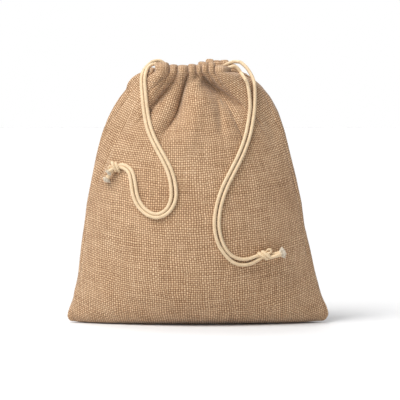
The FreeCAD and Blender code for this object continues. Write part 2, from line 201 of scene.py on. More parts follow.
# Each gathered hem, in millimetres. Its two ends: place across, distance from the mouth's middle. Its ridges
# from left to right: centre, half width, how far it stands out from the mouth's middle, height of its top.
HEMS = {
    FRONT: {
        "ends": ((-46, 8), (33, 9)),
        "ridges": [(-42.6, 1.9, 15, 245.5), (-33, 5.4, 21, 250.4), (-22, 3.0, 19, 248.4),
                   (-13, 3.8, 22, 247.9), (-4.3, 2.9, 20.5, 248.8), (2.2, 2.3, 19, 248.3),
                   (8.1, 2.5, 19.5, 250.2), (14.4, 2.5, 20, 250.6), (22.8, 4.7, 22, 247.4)],
    },
    REAR: {
        "ends": ((-31, 9), (40, 8)),
        "ridges": [(-25.5, 3.6, 20, 247), (-17.5, 3.1, 21, 246.6), (-9.8, 3.2, 20, 247),
                   (-2.2, 3.1, 21.5, 248), (5.4, 3.1, 20, 251), (12.6, 2.9, 21.5, 253.6),
                   (19.4, 2.8, 20, 252.4), (26.6, 3.5, 21, 252.6), (34.6, 2.6, 17, 248.6)],
    },
}
VALLEY = 12.0  # distance of the valleys from the mouth's middle
VALLEY_DROP = 1.3  # how much lower the hem's top is in a valley
INNER_LAYER = 2.9  # distance of the hem's inner layer from it
CORD_PLANE = 7.1  # distance of the tunnels' cords from it
RIDGE_LIMIT = 23  # the furthest that a ridge stands out
RIDGE_FLANK = 3  # how much less a ridge stands out at its flanks
FLANK_DROP = 0.4  # and how much lower its top is there
HEM_END_TOP = 245  # height of the top at both ends


def hem_plan(side):
    """The outer layer of a hem seen from above, along the cord, left to right, and the height of its top."""
    hem = HEMS[side]
    (left, left_depth), (right, right_depth) = hem["ends"]
    ridges = hem["ridges"]
    plan = [(left, left_depth, HEM_END_TOP)]
    for index, (centre, half, depth, top) in enumerate(ridges):
        if index:
            before = ridges[index - 1]
            middle = 0.5 * (before[0] + before[1] + centre - half)
            plan.append((middle, VALLEY, min(top, before[3]) - VALLEY_DROP))
        plan.append((centre - half, depth - RIDGE_FLANK, top - FLANK_DROP))
        plan.append((centre, depth, top))
        plan.append((centre + half, depth - RIDGE_FLANK, top - FLANK_DROP))
    plan.append((right, right_depth, HEM_END_TOP))
    curve = spline_through(plan)
    curve[:, 1] = np.minimum(curve[:, 1], RIDGE_LIMIT) * side
    return curve * MM


# --- cloth: relaxing a wall between its seams

FLAT_WIDTH = 250 * MM
SEAM_TO_CORD = 266 * MM  # cloth from the bottom seam up to the cord
SEAM_TO_SLIT = 236 * MM  # cloth along the side seam up to the slit
CORD_HEIGHT = 241 * MM
COLUMNS = 112
ROWS = 100

# The side edge from the bottom corner to the slit, in millimetres: distance from the middle, height.
EDGES = {
    LEFT: [(122, 1.2), (125, 6.5), (122, 16), (117.5, 27), (113, 47), (110, 75), (107, 95),
           (104.5, 117), (100, 140), (95.5, 162), (90.5, 183), (82, 203), (74.5, 216), (67, 225)],
    RIGHT: [(124, 2.5), (127.5, 8), (125, 17), (120, 27), (113.5, 47), (108, 72), (102.5, 94),
            (99.5, 117), (94.5, 140), (89, 162), (84, 183), (77.5, 203), (70, 217), (61, 228)],
}
OVER_SEAM = 0.6 * MM  # how far the cloth may bulge past the side seams
BOTTOM_SEAM = 1.5 * MM  # height of the bottom seam

# How the cloth settles, in each round.
PRESSURE = 0.06 * MM  # push outward
WEIGHT = 0.15  # push down, as a share of the pressure
DAMPING = 0.92  # speed kept from one round to the next
CARRY = 0.8  # share of a correction that goes into the speed
TOP_SPEED = 1.0 * MM
SWEEPS = 3  # corrections of the threads
STRETCH = 1.0  # share of a thread's stretching that is taken back
SQUEEZE = 0.7  # and of its squeezing
SHEAR = 0.12  # the same across the weave
BENDING = 0.10  # how much bends even out
LOWEST = 0.9 * MM  # the cloth's middle above the floor
NEAREST = 1.0 * MM  # the cloth's middle from the plane between the walls
ROUNDS = 420
TINY = 1e-12  # keeps a division away from zero
LEAST_LENGTH = 1e-9


def edge_curve(side):
    points = [(side * across * MM, 0.0, height * MM) for across, height in EDGES[side]]
    return spline_through(points, 8)


def neighbours_pull(p, a, b, rest, stretch, squeeze):
    """Move the pairs p[a], p[b] towards their rest distance."""
    difference = p[b] - p[a]
    length = norm(difference, axis=-1, keepdims=True) + LEAST_LENGTH
    gain = np.where(length > rest, stretch, squeeze)
    move = 0.5 * gain * (1 - rest / length) * difference
    p[a] += move
    p[b] -= move


def slopes(p):
    """The direction along the grid's first index at each point."""
    return np.concatenate([p[1:2] - p[:1], p[2:] - p[:-2], p[-1:] - p[-2:-1]])


def grid_normals(p):
    n = np.cross(slopes(p.swapaxes(0, 1)).swapaxes(0, 1), slopes(p))
    return n / (norm(n, axis=-1, keepdims=True) + TINY)


def thread_pairs(shape):
    """Neighbours in groups that share no point: their numbers, rest distance, stretch and squeeze."""
    number = np.arange(shape[0] * shape[1]).reshape(shape)
    rest_u = FLAT_WIDTH / COLUMNS
    rest_v = SEAM_TO_CORD / ROWS
    rest_diagonal = math.hypot(rest_u, rest_v)
    straight = []
    diagonals = []
    for start in (0, 1):
        lower = slice(start, -1, 2)
        upper = slice(start + 1, None, 2)
        straight += [(number[:, lower], number[:, upper], rest_u, STRETCH, SQUEEZE),
                     (number[lower], number[upper], rest_v, STRETCH, SQUEEZE)]
        diagonals += [(number[lower, :-1], number[upper, 1:], rest_diagonal, SHEAR, SHEAR),
                      (number[lower, 1:], number[upper, :-1], rest_diagonal, SHEAR, SHEAR)]
    return [(a.ravel(), b.ravel(), *rest) for a, b, *rest in straight + diagonals]


def relax(p, side, held, places, limits):
    """Let a cloth wall settle: threads keep their length, air pushes it out, seams and hem are held."""
    velocity = np.zeros_like(p)
    left_edge = np.array([(-across, height) for across, height in EDGES[LEFT]]) * MM - (OVER_SEAM, 0)
    right_edge = np.array(EDGES[RIGHT]) * MM + (OVER_SEAM, 0)
    pairs = thread_pairs(p.shape[:2])
    flat = p.reshape(-1, 3)
    for _ in range(ROUNDS):
        velocity *= DAMPING
        push = grid_normals(p)
        push *= np.sign((push[..., 1] * side).mean())
        velocity += PRESSURE * push
        velocity[..., 2] -= WEIGHT * PRESSURE
        p += velocity
        before = p.copy()
        for _ in range(SWEEPS):
            for a, b, rest, stretch, squeeze in pairs:
                neighbours_pull(flat, a, b, rest, stretch, squeeze)
            smooth = p.copy()
            smooth[:, 1:-1] += BENDING * (0.5 * (p[:, 2:] + p[:, :-2]) - p[:, 1:-1])
            smooth[1:-1] += BENDING * (0.5 * (p[2:] + p[:-2]) - p[1:-1])
            p[...] = smooth
            p[..., 2] = np.maximum(p[..., 2], LOWEST)
            depth = p[..., 1] * side
            depth = np.clip(depth, NEAREST, limits(p[..., 0], p[..., 2]))
            p[..., 1] = depth * side
            left = np.interp(p[..., 2], left_edge[:, 1], left_edge[:, 0])
            right = np.interp(p[..., 2], right_edge[:, 1], right_edge[:, 0])
            p[..., 0] = np.clip(p[..., 0], left, right)
            p[held] = places[held]
        velocity += CARRY * (p - before)
        speed = norm(velocity, axis=-1, keepdims=True)
        velocity *= np.minimum(1, TOP_SPEED / (speed + TINY))


# The pillow form of the filled pouch: height, half width, half depth.
LEVELS = np.array([(0, 116, 24), (8, 122, 35), (26, 119, 42), (56, 112, 46), (96, 106, 47), (136, 99, 43),
                   (172, 89, 36), (204, 77, 28), (229, 63, 21), (260, 50, 24)]) * MM
SIDE_ROOM = 3 * MM  # the form is this much wider than its levels


def pillow_depth(x, z):
    """How far the pillow form stands from the middle plane."""
    half_width = np.interp(z, LEVELS[:, 0], LEVELS[:, 1]) + SIDE_ROOM
    half_depth = np.interp(z, LEVELS[:, 0], LEVELS[:, 2])
    radius = (half_width ** 2 + half_depth ** 2) / (2 * half_depth)
    across = np.minimum(np.abs(x), half_width)
    return np.sqrt(radius ** 2 - across ** 2) - (radius - half_depth)


# Folds that run down from the gathered hems, in millimetres: the fold's line (across, height), its depth at
# each point (into the pouch, or out of it where negative), and its half width.
FOLDS = {
    FRONT: [
        ([(-33, 240), (-36, 231), (-42, 221), (-49, 211), (-57, 200)], [-3, -5, -5, -3, 0], 7),
        ([(-26.5, 241), (-28, 235), (-33, 227), (-38, 221)], [8, 6, 3, 0], 2.4),
        ([(-18, 241), (-21, 234), (-27, 226), (-34, 218), (-41, 209), (-47, 198)],
         [9, 14, 15, 13, 8, 0], 4.6),
        ([(-13, 240), (-16, 228), (-21, 217), (-29, 206), (-40, 197), (-52, 188)],
         [-2, -6, -7, -6, -3, 0], 4.6),
        ([(-8, 241), (-11.5, 230), (-14.5, 218), (-17, 206), (-22, 195), (-31, 184), (-42, 176)],
         [11, 20, 21, 18, 12, 5, 0], 3.2),
        ([(-0.6, 241), (-1, 233), (-2, 226)], [8, 4, 0], 2.0),
        ([(-3, 230), (-4, 215), (-7, 195), (-10, 175), (-12, 155)], [-2, -4, -4, -3, 0], 11),
        ([(5.2, 241), (7.5, 234), (13, 229), (23, 223.5), (32, 217), (41, 210), (50, 202)],
         [9, 18, 22, 20, 15, 8, 0], 4.0),
        ([(11.4, 242), (13, 236), (16, 231)], [8, 5, 0], 2.2),
        ([(17.6, 242), (21, 236), (26, 231)], [7, 3, 0], 2.2),
        ([(22, 240), (30, 232), (40, 223.5), (50, 214), (58, 204)], [-4, -7, -7, -4, 0], 6.5),
        ([(21, 217), (22, 206), (24, 193), (26, 178)], [0, 6, 5, 0], 4.5),
        ([(30, 214), (31.5, 203), (32, 190), (30, 175)], [0, -5, -4, 0], 4.5),
        ([(47, 204), (46, 190), (41, 172)], [0, 3, 0], 6),
        ([(-62, 205), (-72, 185), (-80, 160)], [0, 2.5, 0], 7),
        ([(62, 205), (71, 188), (78, 165)], [0, 2.5, 0], 6),
        ([(-95, 40), (-60, 22), (-20, 16), (30, 18), (80, 30), (105, 50)], [0, 1.5, 1, 1.2, 1.5, 0], 7),
    ],
    REAR: [
        ([(-21.5, 240), (-28, 226), (-42, 208), (-56, 192)], [8, 13, 8, 0], 4.2),
        ([(-13.6, 240), (-17, 224), (-26, 204), (-30, 184)], [8, 12, 8, 0], 4.2),
        ([(-6, 240), (-8, 222), (-10, 200), (-12, 176)], [8, 14, 9, 0], 4),
        ([(1.6, 240), (3, 220), (5, 196), (3, 170)], [7, 12, 8, 0], 4.5),
        ([(9, 240), (12, 224), (20, 204), (29, 186)], [8, 14, 8, 0], 4.2),
        ([(16, 240), (22, 226), (35, 208), (50, 190)], [8, 13, 8, 0], 4.2),
        ([(23, 240), (33, 226), (48, 210), (61, 196)], [7, 11, 6, 0], 4.2),
        ([(-95, 38), (-50, 20), (10, 17), (70, 24), (103, 46)], [0, 1.5, 1, 1.5, 0], 7),
    ],
}


def fold_depth(side, x, z):
    """How far the folds press a wall in at the place (x, z)."""
    total = np.zeros_like(x)
    for line, depths, half_width in FOLDS[side]:
        curve = spline_through(np.column_stack([line, depths]) * MM, 6)
        nearest = np.full(x.shape, np.inf)
        depth_there = np.zeros_like(x)
        for start, end in zip(curve, curve[1:]):
            run = end[:2] - start[:2]
            share = ((x - start[0]) * run[0] + (z - start[1]) * run[1]) / (run @ run)
            share = np.clip(share, 0, 1)
            distance = np.hypot(x - start[0] - share * run[0], z - start[1] - share * run[1])
            closer = distance < nearest
            nearest = np.where(closer, distance, nearest)
            depth_there = np.where(closer, start[2] + share * (end[2] - start[2]), depth_there)
        total += depth_there * np.exp(-(nearest / (half_width * MM)) ** 2)
    return total


SHOULDER = 208 * MM  # above this height the walls bunch up towards the hems
HEM_REACH = 24 * MM  # how far the bunched cloth stands out
HEM_HALF = 57 * MM  # half the width over which it bunches up
HEM_END = 22 * MM  # length over which the bunching fades at each end
ROOM = 1.5 * MM  # how far the cloth may pass the pillow form, and its least depth


def wall_limit(side, x, z):
    """The furthest that a wall may stand out at (x, z)."""
    swell = np.clip((z - SHOULDER) / (CORD_HEIGHT - SHOULDER), 0, 1)
    end = np.clip((HEM_HALF - np.abs(x)) / HEM_END, 0, 1)
    limit = pillow_depth(x, z) + ROOM
    bunched = HEM_REACH * (end * (2 - end))
    limit = limit + swell * np.maximum(bunched - limit, 0)
    return np.maximum(limit - fold_depth(side, x, z), ROOM)


TABLE_STEP = 1.5 * MM
TABLE_ACROSS = (-132 * MM, 134 * MM)
TABLE_HEIGHTS = (-4 * MM, 264 * MM)


def limit_table(side):
    """The wall's limit worked out once on a fine table, and read from there."""
    across = np.arange(*TABLE_ACROSS, TABLE_STEP)
    height = np.arange(*TABLE_HEIGHTS, TABLE_STEP)
    x, z = np.meshgrid(across, height, indexing="ij")
    table = wall_limit(side, x, z)

    def limits(x, z):
        column = np.clip((x - across[0]) / TABLE_STEP, 0, len(across) - 1.001)
        row = np.clip((z - height[0]) / TABLE_STEP, 0, len(height) - 1.001)
        i = column.astype(int)
        j = row.astype(int)
        s = column - i
        t = row - j
        low = (1 - s) * table[i, j] + s * table[i + 1, j]
        high = (1 - s) * table[i, j + 1] + s * table[i + 1, j + 1]
        return (1 - t) * low + t * high

    return limits


# The form that the cloth starts from.
START_FILL = 0.9  # share of the pillow form's depth
FOOT = 24 * MM  # length of cloth in which it swells to that depth
GATHER_FROM = 0.45  # share of its length above which it narrows
GATHER_POWER = 1.6


def wall_grid(side):
    """One cloth wall from the bottom seam to the cord, relaxed. Rows go up, columns from left to right."""
    share_u = np.linspace(0, 1, COLUMNS + 1)
    lengths = np.linspace(0, SEAM_TO_CORD, ROWS + 1)
    sewn = slice(int(round(SEAM_TO_SLIT / SEAM_TO_CORD * ROWS)) + 1)
    hem = along(hem_plan(side), share_u)
    left = along(edge_curve(LEFT), np.minimum(lengths / SEAM_TO_SLIT, 1))
    right = along(edge_curve(RIGHT), np.minimum(lengths / SEAM_TO_SLIT, 1))
    p = np.zeros((ROWS + 1, COLUMNS + 1, 3))
    for row in range(ROWS + 1):
        p[row] = left[row] + (right[row] - left[row]) * share_u[:, None]
        p[row, :, 1] = side * pillow_depth(p[row, :, 0], p[row, :, 2]) * START_FILL
        p[row, :, 1] *= min(1, lengths[row] / FOOT)
        weight = max(0, (row / ROWS - GATHER_FROM) / (1 - GATHER_FROM)) ** GATHER_POWER
        p[row, :, :2] = (1 - weight) * p[row, :, :2] + weight * hem[:, :2]
        rise = max(0, (lengths[row] - SEAM_TO_SLIT) / (SEAM_TO_CORD - SEAM_TO_SLIT))
        p[row, :, 2] += rise * (CORD_HEIGHT - p[row, :, 2])
    held = np.zeros(p.shape[:2], bool)
    places = p.copy()
    places[0] = (0, 0, BOTTOM_SEAM)
    places[0, :, 0] = share_u * (right[0][0] - left[0][0]) + left[0][0]
    places[sewn, 0] = left[sewn]
    places[sewn, -1] = right[sewn]
    places[-1] = hem
    places[-1, :, 2] = CORD_HEIGHT
    held[sewn, [0, -1]] = held[[0, -1]] = True
    p[held] = places[held]
    relax(p, side, held, places, limit_table(side))
    return p


LAYER_ROWS = 8  # rows of cloth in each of the hem's two layers
TOP_SHARE = 0.25  # how much of a ridge is left at the fold along its top
ROUNDING = 0.8
WRINKLES = ((31, 1, 1.2), (53, 2, 0.6))  # waves of the inner layer: number, shift, size
WRINKLE_SIZE = 0.35
INNER_TURN = 2.2  # how quickly the cloth turns inward below the fold
INNER_POWER = 1.15


def tunnel_rows(side, hem):
    """The hem above the cord: the outer layer up to the fold, and the inner layer down behind the cord."""
    top = hem[:, 2]
    middle = side * CORD_PLANE * MM
    rows = []
    for step in range(1, LAYER_ROWS + 1):
        turn = step / LAYER_ROWS * math.pi / 2
        y = middle + (hem[:, 1] - middle) * (TOP_SHARE + (1 - TOP_SHARE) * math.cos(turn) ** ROUNDING)
        z = CORD_HEIGHT + (top - CORD_HEIGHT) * math.sin(turn)
        rows.append(np.stack([hem[:, 0], y, z], axis=-1))
    share = np.linspace(0, 1, len(hem))
    wrinkle = sum(np.sin(share * waves + shift * side) * size for waves, shift, size in WRINKLES)
    inner = side * (INNER_LAYER + WRINKLE_SIZE * wrinkle) * MM
    fold = rows[-1][:, 1]
    for step in range(1, LAYER_ROWS + 1):
        part = step / LAYER_ROWS
        y = fold + (inner - fold) * math.sin(min(part * INNER_TURN, 1) * math.pi / 2)
        z = top + (TUNNEL_FOOT - top) * part ** INNER_POWER
        rows.append(np.stack([hem[:, 0], y, z], axis=-1))
    return np.array(rows)


def grid_mesh(name, grid, length, flip):
    """A quad mesh of the grid. Its UVs are the flat cloth in metres, each row at its length up the cloth."""
    rows, columns = grid.shape[:2]
    vertices = grid.reshape(-1, 3)
    faces = []
    for row in range(rows - 1):
        for column in range(columns - 1):
            a = row * columns + column
            face = (a, a + 1, a + columns + 1, a + columns)
            faces.append(face[::-1] if flip else face)
    mesh = bpy.data.meshes.new(name)
    mesh.from_pydata(vertices.tolist(), [], faces)
    layer = mesh.uv_layers.new(name="flat_cloth")
    across = np.linspace(0, FLAT_WIDTH, columns)
    for loop in mesh.loops:
        row, column = divmod(loop.vertex_index, columns)
        layer.data[loop.index].uv = (across[column], length[row])
    for polygon in mesh.polygons:
        polygon.use_smooth = True
    return add_object(name, mesh)


HEM_CLOTH = (2.2 * MM, 34 * MM)  # cloth past the cord at the first and last row of the hem


def make_wall(side, material):
    """The piece of one wall with its hem, and the grid of its middle surface."""
    grid = wall_grid(side)
    hem = along(hem_plan(side), np.linspace(0, 1, COLUMNS + 1))
    tunnel = tunnel_rows(side, hem)
    full = np.concatenate([grid, tunnel])
    length = np.concatenate([np.linspace(0, SEAM_TO_CORD, ROWS + 1),
                             SEAM_TO_CORD + np.linspace(*HEM_CLOTH, len(tunnel))])
    piece = grid_mesh(f"{WALL[side]}_cloth", full, length, side == REAR)
    piece.data.materials.append(material)
    solid = piece.modifiers.new("thickness", "SOLIDIFY")
    solid.thickness = CLOTH
    solid.offset = 0
    smooth = piece.modifiers.new("smooth", "SUBSURF")
    smooth.levels = smooth.render_levels = 1
    return piece, full


# --- cords: laying and building them

BEFORE_POUCH = -0.3  # a place along Y well before the pouch
STEEPEST = 0.55  # a slope counts as no steeper than this
LAYING_ROUNDS = 6
LAYING_STEP = 0.9  # share of the gap that is closed in each round
STRAND_GAP = 0.15 * MM  # between a strand and the cloth


class Cloth:
    """The outside of the finished walls, to lay things on."""

    def __init__(self, walls):
        depsgraph = bpy.context.evaluated_depsgraph_get()
        vertices = []
        faces = []
        for wall in walls:
            mesh = wall.evaluated_get(depsgraph).to_mesh()
            start = len(vertices)
            vertices += [tuple(v.co) for v in mesh.vertices]
            faces += [[start + i for i in polygon.vertices] for polygon in mesh.polygons]
        self.tree = BVHTree.FromPolygons(vertices, faces)

    def front(self, x, z):
        """The depth of the front at (x, z) and how much more room a slope there needs."""
        hit, normal, _, _ = self.tree.ray_cast(Vector((x, BEFORE_POUCH, z)), Vector((0, 1, 0)))
        if hit is None or hit.y > 0:
            return None
        return hit.y, 1 / max(STEEPEST, abs(normal.y))


def lay(points, first, cloth, radius):
    """Move the control points until the smooth line rests on the cloth, those before first only outward."""
    points = [np.array(point, float) for point in points]
    for _ in range(LAYING_ROUNDS):
        line = smooth_line(points)
        gaps = [[] for _ in points]
        for place in line:
            found = cloth.front(place[0], place[2])
            if found is None:
                continue
            nearest = min(range(len(points)), key=lambda i: math.dist(points[i], place))
            gaps[nearest].append(found[0] - radius * found[1] - place[1])
        for index in range(1, len(points)):
            if gaps[index]:
                move = LAYING_STEP * min(gaps[index])
                points[index][1] += move if index >= first else min(move, 0)
    return points


def frames_along(line):
    """Two crosswise directions at each point of a line."""
    ahead = np.gradient(line, axis=0)
    ahead /= norm(ahead, axis=1, keepdims=True)
    up = np.array((0.0, -1.0, 0.0)) if abs(ahead[0][1]) < 0.9 else np.array((1.0, 0.0, 0.0))
    first = []
    for direction in ahead:
        up = up - direction * (up @ direction)
        up = up / norm(up)
        first.append(up)
    first = np.array(first)
    return first, np.cross(ahead, first)


class Tubes:
    """A mesh of round tubes whose UVs are the length in metres and the share of the way round."""

    def __init__(self, ring=14):
        self.ring = ring
        self.vertices = []
        self.faces = []
        self.uvs = []

    def add(self, line, radius):
        line = np.asarray(line, float)
        radii = np.broadcast_to(radius, len(line))
        first, second = frames_along(line)
        lengths = lengths_along(line)
        start = len(self.vertices)
        for place, a, b, size in zip(line, first, second, radii):
            for turn in range(self.ring):
                angle = 2 * math.pi * turn / self.ring
                self.vertices.append(tuple(place + size * (math.cos(angle) * a + math.sin(angle) * b)))
        for row, (near, far) in enumerate(zip(lengths, lengths[1:])):
            for turn in range(self.ring):
                other = (turn + 1) % self.ring
                a = start + row * self.ring
                self.faces.append((a + turn, a + other, a + self.ring + other, a + self.ring + turn))
                low, high = turn / self.ring, (turn + 1) / self.ring
                self.uvs += [(near, low), (near, high), (far, high), (far, low)]
        for row, step in ((0, -1), (len(line) - 1, 1)):
            self.faces.append([start + row * self.ring + turn for turn in range(self.ring)][::step])
            self.uvs += [(lengths[row], 0.0)] * self.ring

    def piece(self, name, material):
        mesh = bpy.data.meshes.new(name)
        mesh.from_pydata(self.vertices, [], self.faces)
        layer = mesh.uv_layers.new(name="along")
        for place, uv in zip(layer.data, self.uvs):
            place.uv = uv
        for polygon in mesh.polygons:
            polygon.use_smooth = len(polygon.vertices) == 4
        mesh.materials.append(material)
        return add_object(name, mesh)


def length_of(line):
    return float(norm(np.diff(line, axis=0), axis=1).sum())


def make_runs(side, material):
    """The parts of a cord inside the tunnels, and its turn from one tunnel to the other."""
    cord = f"{SIDE[side]}_cord"
    for wall in (FRONT, REAR):
        tube = Tubes()
        tube.add(smooth_line(np.array(RUNS[side, wall]) * MM), CORD_RADIUS)
        name = f"{cord}_{WALL[wall]}_run"
        run = tube.piece(f"{name}_cotton", material)
        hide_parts(name)
        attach(run, f"{SIDE[side]}_{WALL[wall]}_run")
        turn = [(-side * across, wall * out, height) for across, out, height in TURN]
        tube = Tubes()
        tube.add(smooth_line(np.array(turn) * MM), CORD_RADIUS)
        bight = tube.piece(f"{cord}_{WALL[wall]}_bight", material)
        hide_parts(f"{cord}_bight")
        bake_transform(bight)


WRAPS = ((-2.1, 3.7), (1.7, 3.9))  # the knot's turns: offset along its axis and radius, in millimetres
WRAP_SLANT = -2.9 * MM
WRAP_POINTS = 28
FLATTENING = 0.86  # how much flatter the turns are towards the cloth
KNOT_RISE = 4.6 * MM  # the knot's middle above the cloth


def wrap(centre, axis, across, outward, radius, offset, slant):
    """A loop of cord round the axis through the centre, slanted along the axis."""
    points = []
    for angle in np.linspace(0.0, 2 * math.pi, WRAP_POINTS):
        along_axis = offset + slant * math.cos(angle)
        around = math.cos(angle) * across + FLATTENING * math.sin(angle) * outward
        points.append(centre + axis * along_axis + radius * around)
    return np.array(points)


def make_knot(side, centre, heading, size, material):
    """A tied knot of the doubled cord: two slanted wraps round a core, and a small loop."""
    name = f"{SIDE[side]}_cord_knot"
    axis = np.array((math.cos(heading), 0.0, math.sin(heading)))
    across = np.array((-axis[2], 0.0, axis[0]))
    outward = np.array((0.0, -1.0, 0.0))
    tube = Tubes()
    for offset, radius in WRAPS:
        ring = wrap(centre, axis, across, outward, radius * MM * size, offset * MM * size, WRAP_SLANT * size)
        tube.add(ring, CORD_RADIUS * 1.05 * size)
    eye = centre + axis * 5.0 * MM * size + across * 2.6 * MM * size + outward * 1.2 * MM
    loop = [centre + axis * 1.5 * MM + across * 2.5 * MM]
    for angle in np.linspace(2.4, -2.4, 12):
        loop.append(eye + 1.8 * MM * size * (math.cos(angle) * axis + math.sin(angle) * across))
    loop.append(centre + axis * 3.5 * MM)
    tube.add(smooth_line(loop), CORD_RADIUS * 0.62 * size)
    core = np.array([centre - axis * 4.4 * MM * size, centre, centre + axis * 4.4 * MM * size])
    tube.add(smooth_line(core), CORD_RADIUS * 1.5 * size)
    knot = tube.piece(f"{name}_tied", material)
    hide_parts(name)
    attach(knot, f"{SIDE[side]}_tail")
    return knot


FIBRE = 0.2 * MM  # radius of a fibre's tube
FIBRE_ROOT = 1.2 * MM  # how far inside the cord's end a fibre starts


def make_ends(side, routes, material, fibre):
    """The two short ends past the knot and their frayed fibres."""
    cord = f"{SIDE[side]}_cord"
    tube = Tubes()
    fibres = Tubes(4)
    for route, flare, length, spread, count in routes:
        line = smooth_line(np.array(route) * MM)
        share = np.linspace(0, 1, len(line))
        tube.add(line, CORD_RADIUS * (0.95 + flare * share ** 2))
        tip = line[-1]
        ahead = line[-1] - line[-4]
        ahead /= norm(ahead)
        side_a = np.cross(ahead, (0, 1, 0))
        side_a /= norm(side_a)
        side_b = np.cross(ahead, side_a)
        for _ in range(count):
            angle = random.uniform(0, 2 * math.pi)
            out = math.sqrt(random.uniform(0, 1))
            radial = math.cos(angle) * side_a + math.sin(angle) * side_b
            root = tip - ahead * FIBRE_ROOT + radial * out * CORD_RADIUS * 0.9
            reach = length * random.uniform(0.75, 1.05) * (1 - 0.22 * out ** 2) * MM
            lean = spread * out * random.uniform(0.6, 1.25)
            curl = random.normal(0, 0.16, 3)
            points = []
            for step in (0, 0.3, 0.65, 1.0):
                aside = radial * reach * lean * step ** 1.3 + curl * reach * step ** 2
                points.append(root + ahead * reach * step + aside)
            fibres.add(smooth_line(points)[::6], FIBRE)
    ends = tube.piece(f"{cord}_ends_cotton", material)
    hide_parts(f"{cord}_ends")
    tips = fibres.piece(f"{cord}_tips_frayed", fibre)
    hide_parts(f"{cord}_tips")
    for piece in (ends, tips):
        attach(piece, f"{SIDE[side]}_tail")
    return ends, tips


# Each knot: its middle in millimetres, its axis in the plane of the front wall, and its size.
KNOTS = {
    LEFT: ((-77.3, -26, 151.4), math.radians(165), 0.88),
    RIGHT: ((65, -41, 68.3), math.radians(20), 1.0),
}
# Each cord's two ends past the knot: the route in millimetres, how much the end flares, and its fibres'
# length, spread and number.
ENDS = {
    LEFT: [(((-79.5, -28, 150), (-81.5, -28.8, 148.6), (-83, -28.8, 147.2)), 0.25, 4.5, 0.55, 110),
           (((-79.5, -25.5, 148), (-82.4, -25.5, 145), (-84.8, -24.6, 140.8)), 0.3, 6.0, 0.6, 130)],
    RIGHT: [(((69, -43, 66.0), (74, -43, 67.2), (79.4, -40.5, 69.2)), 0.35, 6.6, 0.75, 150),
            (((69, -39.5, 68.0), (74, -39, 69), (79.4, -36.5, 70.3)), 0.35, 6.2, 0.75, 150)],
}


INTO_KNOT = 0.4  # a strand ends at this share of the way from the knot's middle to its last point


def make_cord(side, cloth, material, fibre):
    """One cord: its runs, its two strands laid on the front wall, the knot and the ends."""
    place, heading, size = KNOTS[side]
    depth, _ = cloth.front(place[0] * MM, place[2] * MM)
    centre = np.array((place[0] * MM, depth - KNOT_RISE * size, place[2] * MM))
    shift = centre[1] / MM - place[1]
    knot = make_knot(side, centre, heading, size, material)
    routes = []
    for route, *rest in ENDS[side]:
        routes.append(([(x, y + shift, z) for x, y, z in route], *rest))
    ends, tips = make_ends(side, routes, material, fibre)
    make_runs(side, material)
    for wall in (FRONT, REAR):
        start = STARTS[side, wall]
        spread = [spacing / 2 * side * wall for spacing in SPACINGS[side]]
        points = np.array(start + beside(PAIRS[side], spread)) * MM
        points = lay(points, len(start), cloth, CORD_RADIUS + STRAND_GAP)
        points.append(centre + INTO_KNOT * (points[-1] - centre))
        line = smooth_line(points)
        tube = Tubes()
        tube.add(line, CORD_RADIUS)
        name = f"{SIDE[side]}_cord_{WALL[wall]}_strand"
        strand = tube.piece(f"{name}_cotton", material)
        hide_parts(name)
        length_of(line)
        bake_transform(strand)


# --- stitching

STITCH_ROW = 10 * MM  # the row of stitches below the cord
STITCH = 2.6 * MM
STITCH_PITCH = 3.4 * MM
FIRST_STITCH = 2 * MM
LAST_STITCH = 4 * MM  # no stitch starts nearer than this to the far end
STITCH_RADIUS = 0.3 * MM
STITCH_SINK = 0.7 * MM  # how far both ends of a stitch go into the cloth
STITCH_POINTS = 6


def make_stitches(side, wall, material):
    """The row of stitches that closes a tunnel, on the outside of the hem."""
    row = int(round((SEAM_TO_CORD - STITCH_ROW) / SEAM_TO_CORD * ROWS))
    normals = grid_normals(wall)[row]
    normals *= np.sign(normals[:, 1:2] * side)
    line = wall[row] + normals * (CLOTH / 2 + 0.2 * MM)
    tube = Tubes(6)
    lengths = lengths_along(line)
    place = FIRST_STITCH
    while place < lengths[-1] - LAST_STITCH:
        wanted = np.linspace(place, place + STITCH, STITCH_POINTS)
        stitch = np.stack([np.interp(wanted, lengths, line[:, k]) for k in range(3)], axis=-1)
        sink = np.abs(np.linspace(-1, 1, STITCH_POINTS)) ** 3 * STITCH_SINK
        stitch[:, 1] -= side * sink
        tube.add(stitch, STITCH_RADIUS)
        place += STITCH_PITCH
    name = f"{WALL[side]}_tunnel_stitching"
    row_of_stitches = tube.piece(f"{name}_thread", material)
    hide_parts(name)
    return row_of_stitches


# --- materials

WHITE = (1.0, 1.0, 1.0)


